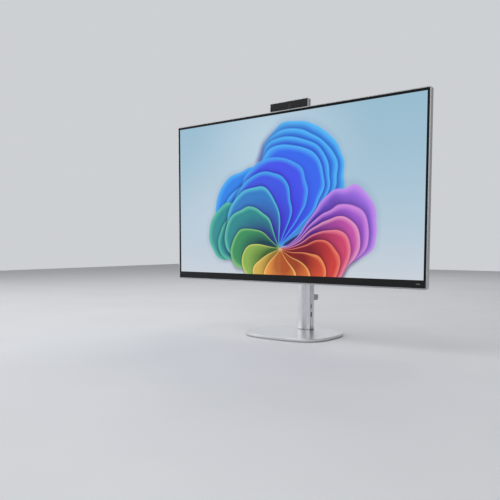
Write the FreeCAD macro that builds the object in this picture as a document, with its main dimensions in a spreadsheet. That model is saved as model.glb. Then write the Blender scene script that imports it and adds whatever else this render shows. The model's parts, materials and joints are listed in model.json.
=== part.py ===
"""All in one desktop computer on a height-adjustable stand.

The frame: +Z is up, the screen faces -Y, and +X is to the right of someone who looks at the screen.
The origin is on the table, at the middle of the base. Every length is in millimetres. The driving
dimensions are the cells of the sheet Dims, and each sub-part is bound to them.
"""

import FreeCAD, Part
import math
import os
from types import SimpleNamespace

import Sketcher
from FreeCAD import Placement, Rotation, Vector

DIMS = {
    # The base is a superellipse plate on rubber feet.
    "base_half_x": 117,
    "base_half_y": 99,
    "base_low": 1.5,
    "base_top": 8,
    "base_skin": 2,
    "base_rim": 5,
    "base_bevel": 1.2,
    "base_power": 3,
    "foot_radius": 10,
    "foot_out_x": 86,
    "foot_out_y": 60,
    # The column is a hollow extrusion with a crowned front.
    "column_half_x": 19.5,
    "column_front": 46,
    "column_back": 70,
    "column_top": 405,
    "column_wall": 2,
    "column_corner": 5,
    "column_crown": 80,
    "column_foot_tall": 14,
    "rail_half_x": 8,
    "rail_deep": 6,
    "rail_low": 210,
    "rail_top": 383,
    # The two ports in the column's right side.
    "port_y": 53,
    "usb_c_z": 69.5,
    "usb_a_z": 48,
    # The open ring on the column's back that holds cables, and the stalk that carries it.
    "clip_low": 84,
    "clip_tall": 13.5,
    "clip_half_x": 18,
    "clip_deep": 25,
    "clip_wall": 3.5,
    "stalk_deep": 3.5,
    "stalk_half_x": 9,
    # The lift and the tilt hinge.
    "lift_travel": 100,
    "pivot_y": 20,
    "pivot_z": 350,
    "carriage_half_z": 28,
    "neck_half_x": 9,
    "neck_half_z": 8,
    "barrel_radius": 10,
    "barrel_half_x": 16,
    "pin_radius": 4,
    "running_fit": 0.06,
    "slide_gap": 0.3,
    "drum_radius": 8,
    "drum_y": 57,
    "drum_z": 392,
    # The display head.
    "head_half_x": 356.5,
    "head_low": 133.8,
    "head_top": 554,
    "head_corner": 3,
    "screen_ahead": 44.3,
    "edge_deep": 13,
    "lip_side": 2.3,
    "lip_top": 1.9,
    "lip_low": 3,
    "chin_tall": 20,
    "part_gap": 0.1,
    # The hump on the back of the head, which ends at Y = 0.
    "hump_half_x": 190,
    "hump_low": 205,
    "hump_top": 470,
    "hump_slope_x": 25,
    "hump_slope_low": 17,
    "hump_slope_top": 8,
    "hump_corner": 30,
    "cover_wall": 2.2,
    # The pop-up camera, up at rest.
    "camera_half_x": 55.5,
    "camera_front": 30,
    "camera_back": 19,
    "camera_top": 578.5,
    "camera_tall": 48.5,
    # The blower.
    "fan_x": 115,
    "fan_z": 350,
    "fan_radius": 38,
    # The power button, under the right end of the chin.
    "button_x": 328,
    "button_half_x": 8.6,
    "button_y": 37.9,
    "button_half_y": 2.7,
}
FAN_BLADES = 23
VENT_SLOTS = 22
# The two rows of vents in the hump, each a span along Z.
VENT_ROWS = {"vent_top": (440, 454), "vent_low": (264, 280)}
# The ports in the back of the head: the spans of each along X and Z, and how deep it is.
REAR_PORTS = {
    "video_port": ((-102, -87), (239.5, 245.5), 12),
    "network_port": ((-80, -64), (236, 250), 18),
    "usb_upper": ((-57, -43.5), (245.5, 251.5), 14),
    "usb_lower": ((-57, -43.5), (235.5, 241.5), 14),
}
POWER_JACK = (-24, 243)
# The window in the hump that those ports show through, as spans along X and Z.
PORT_WINDOW = ((-112, -6), (230, 258))
TURN_TO = {"x": Rotation(Vector(0, 1, 0), 90), "y": Rotation(Vector(1, 0, 0), -90), "z": Rotation()}
# Which way each origin plane's normal points along its own axis.
PLANES = {"XY_Plane": 1, "XZ_Plane": -1, "YZ_Plane": 1}

doc = FreeCAD.newDocument("AllInOneComputer")
sheet = doc.addObject("Spreadsheet::Sheet", "Dims")
nodes = []


class Size:
    """A length known both as a number and as the formula that gives it from the sheet's cells."""

    def __init__(self, number, formula=None):
        self.number = float(number)
        self.formula = formula or f"({number:.6g})"

    def joined(self, sign, other, number):
        return Size(number, f"({self.formula} {sign} {size(other).formula})")

    def __add__(self, other):
        return self.joined("+", other, self.number + size(other).number)

    def __sub__(self, other):
        return self.joined("-", other, self.number - size(other).number)

    def __mul__(self, other):
        return self.joined("*", other, self.number * size(other).number)

    def __neg__(self):
        return Size(-self.number, f"(0 - {self.formula})")

    def __radd__(self, other):
        return size(other) + self


def size(value):
    return value if isinstance(value, Size) else Size(value)


def fill_sheet():
    """Writes each driving dimension to a cell with its name as the alias."""
    for row, (alias, number) in enumerate(DIMS.items(), 1):
        sheet.set(f"A{row}", alias)
        sheet.set(f"B{row}", str(number))
        sheet.setAlias(f"B{row}", alias)
    doc.recompute()
    return SimpleNamespace(**{alias: Size(n, f"Dims.{alias}") for alias, n in DIMS.items()})


d = fill_sheet()


def bind(made, prop, value):
    made.setExpression(prop, size(value).formula)


def node(made):
    """Counts a finished object as a sub-part. Its Label is the name of its file."""
    nodes.append(made)
    return made


def mirrored(span):
    """The same span on the other side of zero."""
    return (-size(span[1]), -size(span[0]))


def about(middle, half):
    return (middle - half, middle + half)


def widened(span, by):
    return (span[0] - by, span[1] + by)


def box(name, x, y, z):
    """A box over the spans x, y and z, each from its low side to its high side."""
    made = doc.addObject("Part::Box", name)
    for side, letter, (low, high) in zip(("Length", "Width", "Height"), "xyz", (x, y, z)):
        bind(made, side, size(high) - low)
        bind(made, f"Placement.Base.{letter}", low)
    return made


def rod(name, axis, radius, span, centre):
    """A cylinder along axis over span. centre holds its other two coordinates, in order."""
    made = doc.addObject("Part::Cylinder", name)
    made.Placement = Placement(Vector(), TURN_TO[axis])
    bind(made, "Radius", radius)
    bind(made, "Height", size(span[1]) - span[0])
    others = [letter for letter in "xyz" if letter != axis]
    for letter, value in zip([axis] + others, [span[0], *centre]):
        bind(made, f"Placement.Base.{letter}", value)
    return made


def fuse(name, *shapes):
    made = doc.addObject("Part::MultiFuse", name)
    made.Shapes = list(shapes)
    return made


def cut(name, base, *tools):
    made = doc.addObject("Part::Cut", name)
    made.Base = base
    made.Tool = tools[0] if len(tools) == 1 else fuse(f"{name}_tools", *tools)
    return made


def group(name, shapes):
    """Several separate solids in one node."""
    made = doc.addObject("Part::Compound", name)
    made.Links = list(shapes)
    return made


def rounded(name, base, radius, letter):
    """Rounds the straight edges of base that run along an axis."""
    doc.recompute()
    made = doc.addObject("Part::Fillet", name)
    made.Base = base
    reach = size(radius).number
    made.Edges = [
        (count, reach, reach)
        for count, edge in enumerate(base.Shape.Edges, 1)
        if isinstance(edge.Curve, Part.Line)
        and abs(getattr(edge.tangentAt(edge.FirstParameter), letter)) > 0.999
    ]
    return made


def sketch_on(body, name, role, away):
    """A sketch on one of the body's own origin planes, moved away along the plane's normal."""
    plane = next(f for f in body.Origin.OriginFeatures if f.Role == role)
    made = body.newObject("Sketcher::SketchObject", name)
    made.AttachmentSupport = [(plane, "")]
    made.MapMode = "FlatFace"
    bind(made, "AttachmentOffset.Base.z", away)
    return made


def held_by(sketch, kind, places, value):
    """Adds a dimension to a sketch and binds it to the sheet."""
    index = sketch.addConstraint(Sketcher.Constraint(kind, *places, size(value).number))
    sketch.setExpression(f"Constraints[{index}]", size(value).formula)


def draw_round_box(sketch, across, up, radius):
    """A rectangle with round corners over the spans across and up, drawn anticlockwise."""
    (left, right), (low, high) = [[size(v).number for v in span] for span in (across, up)]
    r = size(radius).number
    corners = (
        (right - r, low + r, -90, (left + r, low), (right - r, low)),
        (right - r, high - r, 0, (right, low + r), (right, high - r)),
        (left + r, high - r, 90, (right - r, high), (left + r, high)),
        (left + r, low + r, 180, (left, high - r), (left, low + r)),
    )
    for mid_x, mid_y, start, begin, end in corners:
        sketch.addGeometry(Part.LineSegment(Vector(*begin, 0), Vector(*end, 0)))
        ring = Part.Circle(Vector(mid_x, mid_y, 0), Vector(0, 0, 1), r)
        turn = (math.radians(start), math.radians(start + 90))
        sketch.addGeometry(Part.ArcOfCircle(ring, *turn))
    for edge in range(8):
        sketch.addConstraint(Sketcher.Constraint("Tangent", edge, 2, (edge + 1) % 8, 1))
    for edge, kind in ((0, "Horizontal"), (2, "Vertical"), (4, "Horizontal"), (6, "Vertical")):
        sketch.addConstraint(Sketcher.Constraint(kind, edge))
    for arc in (3, 5, 7):
        sketch.addConstraint(Sketcher.Constraint("Equal", 1, arc))
    held_by(sketch, "Radius", (1,), radius)
    held_by(sketch, "DistanceY", (-1, 1, 0, 1), up[0])
    held_by(sketch, "DistanceX", (-1, 1, 2, 1), across[1])
    held_by(sketch, "DistanceY", (-1, 1, 4, 1), up[1])
    held_by(sketch, "DistanceX", (-1, 1, 6, 1), across[0])


def draw_crowned_box(sketch, across, up, radius, crown):
    """The same, even about x = 0, with an arc of radius crown for its low side."""
    (left, right), (low, high) = [[size(v).number for v in span] for span in (across, up)]
    r, wide = size(radius).number, size(crown).number
    side = right - r
    lean = math.degrees(math.asin(side / (wide - r)))
    corner_low = low + wide - math.sqrt((wide - r) ** 2 - side**2)

    def arc(mid, reach, start, end):
        ring = Part.Circle(Vector(*mid, 0), Vector(0, 0, 1), reach)
        sketch.addGeometry(Part.ArcOfCircle(ring, math.radians(start), math.radians(end)))

    def line(begin, end):
        sketch.addGeometry(Part.LineSegment(Vector(*begin, 0), Vector(*end, 0)))

    arc((0, low + wide), wide, 270 - lean, 270 + lean)
    arc((side, corner_low), r, lean - 90, 0)
    line((right, corner_low), (right, high - r))
    arc((side, high - r), r, 0, 90)
    line((side, high), (-side, high))
    arc((-side, high - r), r, 90, 180)
    line((left, high - r), (left, corner_low))
    arc((-side, corner_low), r, 180, 270 - lean)
    for edge in range(8):
        sketch.addConstraint(Sketcher.Constraint("Tangent", edge, 2, (edge + 1) % 8, 1))
    for edge, kind in ((2, "Vertical"), (4, "Horizontal"), (6, "Vertical")):
        sketch.addConstraint(Sketcher.Constraint(kind, edge))
    for corner in (3, 5, 7):
        sketch.addConstraint(Sketcher.Constraint("Equal", 1, corner))
    sketch.addConstraint(Sketcher.Constraint("PointOnObject", 0, 3, -2))
    held_by(sketch, "Radius", (1,), radius)
    held_by(sketch, "Radius", (0,), crown)
    held_by(sketch, "DistanceY", (-1, 1, 0, 3), size(up[0]) + crown)
    held_by(sketch, "DistanceX", (-1, 1, 2, 1), across[1])
    held_by(sketch, "DistanceY", (-1, 1, 4, 1), up[1])
    held_by(sketch, "DistanceX", (-1, 1, 6, 1), across[0])


def draw_ring(sketch, radius):
    """A circle about the sketch's origin."""
    sketch.addGeometry(Part.Circle(Vector(), Vector(0, 0, 1), size(radius).number))
    sketch.addConstraint(Sketcher.Constraint("Coincident", 0, 3, -1, 1))
    held_by(sketch, "Radius", (0,), radius)


def padded(body, name, role, span, draw, *sizes):
    """Adds material over span, with the outline that draw makes on a plane."""
    low, high = span
    away = low if PLANES[role] > 0 else -size(high)
    sketch = sketch_on(body, f"{name}_sketch", role, away)
    draw(sketch, *sizes)
    made = body.newObject("PartDesign::Pad", name)
    made.Profile = sketch
    bind(made, "Length", size(high) - low)
    return made


def pocketed(body, name, role, span, draw, *sizes):
    """Takes material away over span. A pocket cuts against its sketch's normal."""
    low, high = span
    away = high if PLANES[role] > 0 else -size(low)
    sketch = sketch_on(body, f"{name}_sketch", role, away)
    draw(sketch, *sizes)
    doc.recompute()
    before = body.Shape.Volume
    made = body.newObject("PartDesign::Pocket", name)
    made.Profile = sketch
    bind(made, "Length", size(high) - low)
    doc.recompute()
    if body.Shape.Volume > before - 1e-3:
        raise RuntimeError(f"{name} cuts nothing")
    return made


def new_body(name):
    return doc.addObject("PartDesign::Body", name)


def screws(name, axis, head, shank, places):
    """Identical screws in one node. head and shank are each a radius and a span along axis."""
    made = []
    for count, centre in enumerate(places, 1):
        top = rod(f"{name}_head_{count}", axis, head[0], head[1], centre)
        stem = rod(f"{name}_shank_{count}", axis, shank[0], shank[1], centre)
        made.append(fuse(f"{name}_{count}", top, stem))
    return node(group(name, made))


# ---------------------------------------------------------------- heights and planes used twice

front = -d.screen_ahead
edge_back = front + d.edge_deep
frame_front = front - 0.3
screen_low = d.head_low + d.chin_tall
tray_back = front + 5.7
inside_x = d.head_half_x - d.lip_side - d.part_gap
inside_low = d.head_low + d.lip_low + d.part_gap
inside_top = d.head_top - d.lip_top - d.part_gap
board_front = front + 10.3
board_back = board_front + 1.6
column_in_front = d.column_front + d.column_wall
column_in_back = d.column_back - d.column_wall
column_in_x = d.column_half_x - d.column_wall
rail_front = column_in_back - d.rail_deep
foot_places = [(x, y) for x in (-11, 11) for y in (53, 63)]


# ---------------------------------------------------------------- base


def superellipse(half_x, half_y):
    """A closed face in the XY plane, where |x / half_x| ** n + |y / half_y| ** n is 1."""
    share = 2 / DIMS["base_power"]
    points = []
    for step in range(96):
        angle = math.radians(step * 3.75)
        c, s = math.cos(angle), math.sin(angle)
        x = math.copysign(abs(c) ** share, c) * half_x
        y = math.copysign(abs(s) ** share, s) * half_y
        points.append(Vector(x, y, 0))
    curve = Part.BSplineCurve()
    curve.interpolate(Points=points, PeriodicFlag=True)
    return Part.Face(Part.Wire(curve.toShape()))


def base_slab(inset, low, high):
    """A plate of the base's outline, inset all round."""
    made = superellipse(DIMS["base_half_x"] - inset, DIMS["base_half_y"] - inset)
    return made.extrude(Vector(0, 0, high - low)).translated(Vector(0, 0, low))


def make_base():
    low, top, rim = DIMS["base_low"], DIMS["base_top"], DIMS["base_rim"]
    roof = top - DIMS["base_skin"]
    screw_seat, shank_hole, head_hole = 3, 2.3, 4.2
    plate = base_slab(0, low, top)
    outline = [e for e in plate.Edges if e.BoundBox.ZLength < 1e-6]
    plate = plate.makeFillet(DIMS["base_bevel"], outline)
    plate = plate.cut(base_slab(rim, low - 1, roof))
    holes = [Part.makeCylinder(shank_hole, 20, Vector(x, y, 0)) for x, y in foot_places]
    plate = plate.cut(Part.makeCompound(holes))
    base_plate = doc.addObject("Part::Feature", "base_plate")
    base_plate.Shape = plate
    node(base_plate)

    weight = base_slab(rim + 0.5, low + 0.3, roof - 0.1)
    heads = [Part.makeCylinder(head_hole, low + screw_seat, Vector(x, y, 0)) for x, y in foot_places]
    weight = weight.cut(Part.makeCompound(holes + heads))
    base_weight = doc.addObject("Part::Feature", "base_weight")
    base_weight.Shape = weight
    node(base_weight)

    feet = []
    for x in (-d.foot_out_x, d.foot_out_x):
        for y in (-d.foot_out_y, d.foot_out_y):
            foot_z = (0, d.base_low + 0.3)
            feet.append(rod(f"foot_{len(feet) + 1}", "z", d.foot_radius, foot_z, (x, y)))
    node(group("base_feet", feet))
    seat = d.base_low + screw_seat
    head = (3.6, (seat - 2.2, seat))
    shank = (1.9, (seat, d.base_top + 10))
    screws("base_screws", "z", head, shank, foot_places)


# ---------------------------------------------------------------- column


def make_column():
    def outline(inset):
        """The extrusion's outline, inset all round."""
        half = d.column_half_x - inset
        deep = (d.column_front + inset, d.column_back - inset)
        return ((-half, half), deep, d.column_corner - inset, d.column_crown - inset)

    tall = (d.base_top, d.column_top)
    wall = d.column_wall
    shell = new_body("column_shell")
    padded(shell, "column_outside", "XY_Plane", tall, draw_crowned_box, *outline(0))
    pocketed(shell, "column_inside", "XY_Plane", tall, draw_crowned_box, *outline(wall))
    slot_x = (-d.neck_half_x - 0.8, d.neck_half_x + 0.8)
    slot_z = (d.pivot_z - d.lift_travel - d.neck_half_z - 4, d.pivot_z + d.neck_half_z + 4)
    front_wall = (d.column_front - 1, column_in_front + 1)
    pocketed(shell, "lift_slot", "XZ_Plane", front_wall, draw_round_box, slot_x, slot_z, 3)
    side_wall = (column_in_x - 1, d.column_half_x + 1)
    for name, half_y, z, half_z, corner in (
        ("usb_c_cut", 2.3, d.usb_c_z, 5.8, 2.2),
        ("usb_a_cut", 2.8, d.usb_a_z, 6.7, 0.6),
    ):
        port_y = about(d.port_y, half_y)
        pocketed(shell, name, "YZ_Plane", side_wall, draw_round_box, port_y, about(z, half_z), corner)
    node(shell)

    cap = new_body("column_cap")
    cap_z = (d.column_top - 4, d.column_top - 0.4)
    padded(cap, "cap_lid", "XY_Plane", cap_z, draw_crowned_box, *outline(wall + d.part_gap))
    node(cap)

    block_half, block_y = 16, (50, 67)
    block_z = (d.base_top, d.base_top + d.column_foot_tall)
    foot = box("foot_block", (-block_half, block_half), block_y, block_z)
    holes = [
        rod(f"foot_hole_{i}", "z", 2, (d.base_top - 1, d.base_top + 12), at)
        for i, at in enumerate(foot_places, 1)
    ]
    node(cut("column_foot", foot, *holes))

    rail_y = (rail_front, column_in_back)
    rail = box("rail_bar", (-d.rail_half_x, d.rail_half_x), rail_y, (d.rail_low, d.rail_top))
    rail_holes = []
    first_hole, last_hole, hole_pitch = 225, 375, 30
    for z in range(first_hole, last_hole + 1, hole_pitch):
        through = (rail_front - 2, column_in_back + 2)
        rail_holes.append(rod(f"rail_hole_{z}", "y", 1.6, through, (0, z)))
    node(cut("lift_rail", rail, *rail_holes))


def make_ports():
    x_out = d.column_half_x - 0.8
    shell = rounded(
        "usb_c_shell",
        box("usb_c_block", (8, x_out), about(d.port_y, 1.6), about(d.usb_c_z, 4.5)),
        1.5,
        "x",
    )
    hollow = rounded(
        "usb_c_hollow",
        box("usb_c_void", (9.5, x_out + 1), about(d.port_y, 1.25), about(d.usb_c_z, 4.15)),
        1.2,
        "x",
    )
    tongue = box("usb_c_tongue", (9, x_out - 0.6), about(d.port_y, 0.35), about(d.usb_c_z, 3.3))
    node(fuse("usb_c_port", cut("usb_c_can", shell, hollow), tongue))

    can = box("usb_a_block", (6.2, x_out), about(d.port_y, 2.6), about(d.usb_a_z, 6.5))
    void = box("usb_a_void", (7.5, x_out + 1), about(d.port_y, 2.25), about(d.usb_a_z, 6.15))
    tongue = box("usb_a_tongue", (7, x_out - 0.8), (d.port_y - 1.9, d.port_y), about(d.usb_a_z, 5.6))
    node(fuse("usb_a_port", cut("usb_a_can", can, void), tongue))

    chip = box("port_chip", (2.6, 4), (54, 61), (56, 63))
    board = box("port_panel", (4, 5.6), (49, 66), (36, 82))
    legs = [
        box("usb_c_leg", (5.6, 8), about(d.port_y, 1.4), about(d.usb_c_z, 3)),
        box("usb_a_leg", (5.6, 6.2), about(d.port_y, 2), about(d.usb_a_z, 5)),
    ]
    node(fuse("port_board", board, chip, *legs))


def make_clip():
    ring_front = d.column_back + d.stalk_deep
    ring_back = d.column_back + d.clip_deep
    tall = (d.clip_low, d.clip_low + d.clip_tall)
    half = d.clip_half_x
    wall = d.clip_wall
    clip = new_body("cable_clip")
    out_y = (ring_front, ring_back)
    padded(clip, "clip_outside", "XY_Plane", tall, draw_round_box, (-half, half), out_y, 6)
    stalk_x = (-d.stalk_half_x, d.stalk_half_x)
    stalk_y = (d.column_back, ring_front + wall)
    stalk_z = (d.clip_low + 2, d.clip_low + d.clip_tall - 2)
    padded(clip, "clip_stalk", "XY_Plane", stalk_z, draw_round_box, stalk_x, stalk_y, 0.8)
    in_x = (-half + wall, half - wall)
    in_y = (ring_front + wall, ring_back - wall)
    pocketed(clip, "clip_inside", "XY_Plane", tall, draw_round_box, in_x, in_y, 2.5)
    mouth_y = (ring_back - wall - 1, ring_back + 1)
    pocketed(clip, "clip_mouth", "XY_Plane", tall, draw_round_box, (-4.5, 4.5), mouth_y, 0.8)
    node(clip)


# ---------------------------------------------------------------- lift


def make_lift():
    travel = about(d.pivot_z, d.carriage_half_z)
    block_half, block_y = 14.5, (50, 65.5)
    block = box("carriage_block", (-block_half, block_half), block_y, travel)
    gap = d.slide_gap
    groove_x = (-d.rail_half_x - gap, d.rail_half_x + gap)
    groove = box("carriage_groove", groove_x, (rail_front - gap, 70), travel)
    node(rounded("lift_carriage", cut("carriage_cut", block, groove), 0.3, "z"))

    pivot = (d.pivot_y, d.pivot_z)
    barrel_x = (-d.barrel_half_x, d.barrel_half_x)
    barrel = rod("neck_barrel", "x", d.barrel_radius, barrel_x, pivot)
    neck_x = (-d.neck_half_x, d.neck_half_x)
    arm = box("neck_bar", neck_x, (d.pivot_y + 4, 50), about(d.pivot_z, d.neck_half_z))
    solid = rounded("neck_solid", fuse("neck_whole", barrel, arm), 2, "y")
    bore = rod("neck_bore", "x", d.pin_radius + d.running_fit, (-17, 17), pivot)
    node(cut("neck_arm", solid, bore))

    drum_at = (d.drum_y, d.drum_z)
    axle_radius = 2
    rim = (5, 6)
    flanges = [
        rod("drum_rim_left", "x", d.drum_radius, mirrored(rim), drum_at),
        rod("drum_rim_right", "x", d.drum_radius, rim, drum_at),
        rod("drum_coil", "x", d.drum_radius - 1.2, (-5, 5), drum_at),
    ]
    through = (-7, 7)
    drum_bore = rod("drum_bore", "x", axle_radius + d.running_fit, through, drum_at)
    holes = []
    hole_circle, hole_count = 4.2, 3
    for count in range(hole_count):
        turn = math.radians(30 + 360 / hole_count * count)
        at = (d.drum_y + hole_circle * math.cos(turn), d.drum_z + hole_circle * math.sin(turn))
        holes.append(rod(f"drum_hole_{count}", "x", 1.1, through, at))
    node(cut("spring_drum", fuse("drum_whole", *flanges), drum_bore, *holes))

    cheeks_z = about(d.drum_z, 4)
    cheek_y = (d.drum_y - 4, column_in_back)
    cheek = (6.4, 7.8)
    outside = (-7.8, 7.8)
    left = box("drum_cheek_left", mirrored(cheek), cheek_y, cheeks_z)
    right = box("drum_cheek_right", cheek, cheek_y, cheeks_z)
    web = box("drum_web", outside, (column_in_back - 1.5, column_in_back), cheeks_z)
    axle = rod("drum_axle", "x", axle_radius, outside, drum_at)
    node(fuse("spring_bracket", left, right, web, axle))


# ---------------------------------------------------------------- tilt hinge


def make_hinge():
    pivot = (d.pivot_y, d.pivot_z)
    ears_x = (17.8, 22.8)
    ear_radius = 10.5
    half_wide, half_tall, thick = 45, 40, 3
    plate = box("bracket_plate", (-half_wide, half_wide), (0, thick), about(d.pivot_z, half_tall))
    plate = rounded("bracket_round", plate, 6, "y")
    ears = []
    for side, span in (("left", mirrored(ears_x)), ("right", ears_x)):
        ears.append(rod(f"ear_{side}", "x", ear_radius, span, pivot))
        ears.append(box(f"ear_root_{side}", span, (1, d.pivot_y), about(d.pivot_z, ear_radius)))
    tools = [rod("ear_bore", "x", d.pin_radius, (-30, 30), pivot)]
    screw_at = bracket_screw_places()
    for count, at in enumerate(screw_at):
        tools.append(rod(f"bracket_hole_{count}", "y", 2.3, (-1, 4), at))
    node(cut("tilt_bracket", fuse("bracket_whole", plate, *ears), *tools))
    screws("bracket_screws", "y", (3.8, (thick, thick + 2.4)), (1.9, (-5, thick)), screw_at)

    pin = rod("pin_bar", "x", d.pin_radius, (-26, 26), pivot)
    nut_x = (25, 27.6)
    ends = [
        rod("pin_head", "x", d.pin_radius + 2, mirrored(nut_x), pivot),
        rod("pin_nut", "x", d.pin_radius + 2, nut_x, pivot),
    ]
    node(fuse("hinge_pin", pin, *ends))

    washers = []
    washer_x = (16.3, 17.7)
    for side, span in (("left", mirrored(washer_x)), ("right", washer_x)):
        disc = rod(f"washer_disc_{side}", "x", 9, span, pivot)
        hole = rod(f"washer_hole_{side}", "x", d.pin_radius + 0.05, (-30, 30), pivot)
        washers.append(cut(f"washer_{side}", disc, hole))
    node(group("hinge_washers", washers))

    skin, hood_half = 1.5, 30.5
    hood_x = (-hood_half, hood_half)
    void_x = (skin - hood_half, hood_half - skin)
    radius = d.pivot_y - 3.2
    outside = fuse(
        "hood_outside",
        rod("hood_round", "x", radius, hood_x, pivot),
        box("hood_root", hood_x, (thick + 0.1, d.pivot_y), about(d.pivot_z, radius)),
    )
    inside = [
        rod("hood_void", "x", radius - skin, void_x, pivot),
        box("hood_root_void", void_x, (2, d.pivot_y), about(d.pivot_z, radius - skin)),
        box("hood_mouth", (-10.5, 10.5), (d.pivot_y, 40), (d.pivot_z - 11.5, d.pivot_z + 14.5)),
    ]
    node(cut("hinge_cover", outside, *inside))


# ---------------------------------------------------------------- display head


def make_frame():
    frame = new_body("mid_frame")
    deep = (frame_front, edge_back)
    all_x = (-d.head_half_x, d.head_half_x)
    all_z = (d.head_low, d.head_top)
    padded(frame, "frame_outside", "XZ_Plane", deep, draw_round_box, all_x, all_z, d.head_corner)
    in_x = (-d.head_half_x + d.lip_side, d.head_half_x - d.lip_side)
    in_z = (d.head_low + d.lip_low, d.head_top - d.lip_top)
    pocketed(frame, "frame_inside", "XZ_Plane", deep, draw_round_box, in_x, in_z, 1)
    hole_x = about(d.button_x, d.button_half_x + 0.3)
    hole_y = about(-d.button_y, d.button_half_y + 0.3)
    floor = (d.head_low - 1, d.head_low + d.lip_low + 1)
    pocketed(frame, "button_hole", "XY_Plane", floor, draw_round_box, hole_x, hole_y, 2.6)
    node(frame)


def flat_plate(name, y, x, z, radius):
    """A plate across the head with round corners."""
    plate = new_body(name)
    padded(plate, f"{name}_plate", "XZ_Plane", y, draw_round_box, x, z, radius)
    return plate


def make_screen():
    wide = (-inside_x, inside_x)
    node(flat_plate("lcd_panel", (front, front + 1.5), wide, (screen_low + 0.1, inside_top), 0.8))
    node(flat_plate("chin_strip", (front, front + 2.3), wide, (inside_low, screen_low - 0.1), 0.8))
    guide_x = (-inside_x + 3, inside_x - 3)
    guide_z = (screen_low + 4.2, inside_top - 3)
    node(flat_plate("light_guide", (front + 1.6, front + 4.6), guide_x, guide_z, 1))

    carrier_half = 345
    strip_z = (screen_low + 1.2, screen_low + 3.4)
    strip_y = (front + 1.8, front + 4.4)
    strip = box("led_carrier", (-carrier_half, carrier_half), strip_y, strip_z)
    lamps = []
    lamp_count, row_half, lamp_half = 24, 330, 2
    for count in range(lamp_count):
        x = -row_half + count * 2 * row_half / (lamp_count - 1)
        lamp_z = (screen_low + 3.4, screen_low + 4)
        lamp_x = (x - lamp_half, x + lamp_half)
        lamps.append(box(f"led_{count}", lamp_x, (front + 2.2, front + 4), lamp_z))
    node(fuse("led_strip", strip, *lamps))

    tray = new_body("backlight_tray")
    tray_x = (-inside_x + 0.6, inside_x - 0.6)
    tray_z = (screen_low + 0.2, inside_top - 0.6)
    deep = (front + 1.6, tray_back)
    padded(tray, "tray_block", "XZ_Plane", deep, draw_round_box, tray_x, tray_z, 1.5)
    room = (front + 1.6, tray_back - 1)
    room_x = (-inside_x + 1.6, inside_x - 1.6)
    room_z = (screen_low + 1, inside_top - 1.6)
    pocketed(tray, "tray_room", "XZ_Plane", room, draw_round_box, room_x, room_z, 1)
    node(tray)


def hump_end(y, inset, slope):
    """The hump's outline at Y = y: where it sits down, and which of its slopes is used, 0 or 1."""
    half = d.hump_half_x - d.hump_slope_x * slope - inset
    low = d.hump_low + d.hump_slope_low * slope + inset
    top = d.hump_top - d.hump_slope_top * slope - inset
    return (y, (-half, half), (low, top), d.hump_corner - 8 * slope)


def lofted(body, name, kind, *ends):
    """Adds or takes away a block between two outlines, each a Y, two spans and a corner radius."""
    sketches = []
    for count, (y, across, up, radius) in enumerate(ends):
        sketch = sketch_on(body, f"{name}_sketch_{count}", "XZ_Plane", -size(y))
        draw_round_box(sketch, across, up, radius)
        sketches.append(sketch)
    doc.recompute()
    before = 0 if body.Shape.isNull() else body.Shape.Volume
    made = body.newObject(f"PartDesign::{kind}Loft", name)
    made.Profile = sketches[0]
    made.Sections = sketches[1:]
    doc.recompute()
    if abs(body.Shape.Volume - before) < 1e-3:
        raise RuntimeError(f"{name} changes nothing")


def vent_row(body, name, low, high):
    """A row of round-ended slots through the hump's back wall."""
    row_half = 147
    slot_half = 2
    first = (-row_half - slot_half, -row_half + slot_half)
    back_wall = (-d.cover_wall - 1, 1)
    slot = pocketed(body, name, "XZ_Plane", back_wall, draw_round_box, first, (low, high), 1.9)
    pattern = body.newObject("PartDesign::LinearPattern", f"{name}_row")
    pattern.Originals = [slot]
    pattern.Direction = (slot.Profile[0], ["H_Axis"])
    pattern.Length = 2 * row_half
    pattern.Occurrences = VENT_SLOTS
    body.Tip = pattern


def make_rear_panel():
    """The flat back of the head, open behind the hump."""
    panel_front = edge_back - 2.7
    panel = new_body("panel_shell")
    all_y = (panel_front, edge_back)
    all_x = (-inside_x, inside_x)
    all_z = (inside_low, inside_top)
    padded(panel, "panel_sheet", "XZ_Plane", all_y, draw_round_box, all_x, all_z, 1)
    pocketed(panel, "panel_throat", "XZ_Plane", all_y, draw_round_box, (-180, 180), (215, 450), 20)
    tools = []
    for count, at in enumerate(cover_screw_places()):
        tools.append(rod(f"panel_bore_{count}", "y", 1.7, (panel_front - 1, edge_back), at))
        tools.append(rod(f"panel_sink_{count}", "y", 3.3, (edge_back - 1.6, edge_back + 1), at))
    node(cut("rear_panel", panel, *tools))
    head = (2.9, (edge_back - 1.5, edge_back - 0.2))
    shank = (1.4, (tray_back + 0.1, edge_back - 1.5))
    screws("cover_screws", "y", head, shank, cover_screw_places())


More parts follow.
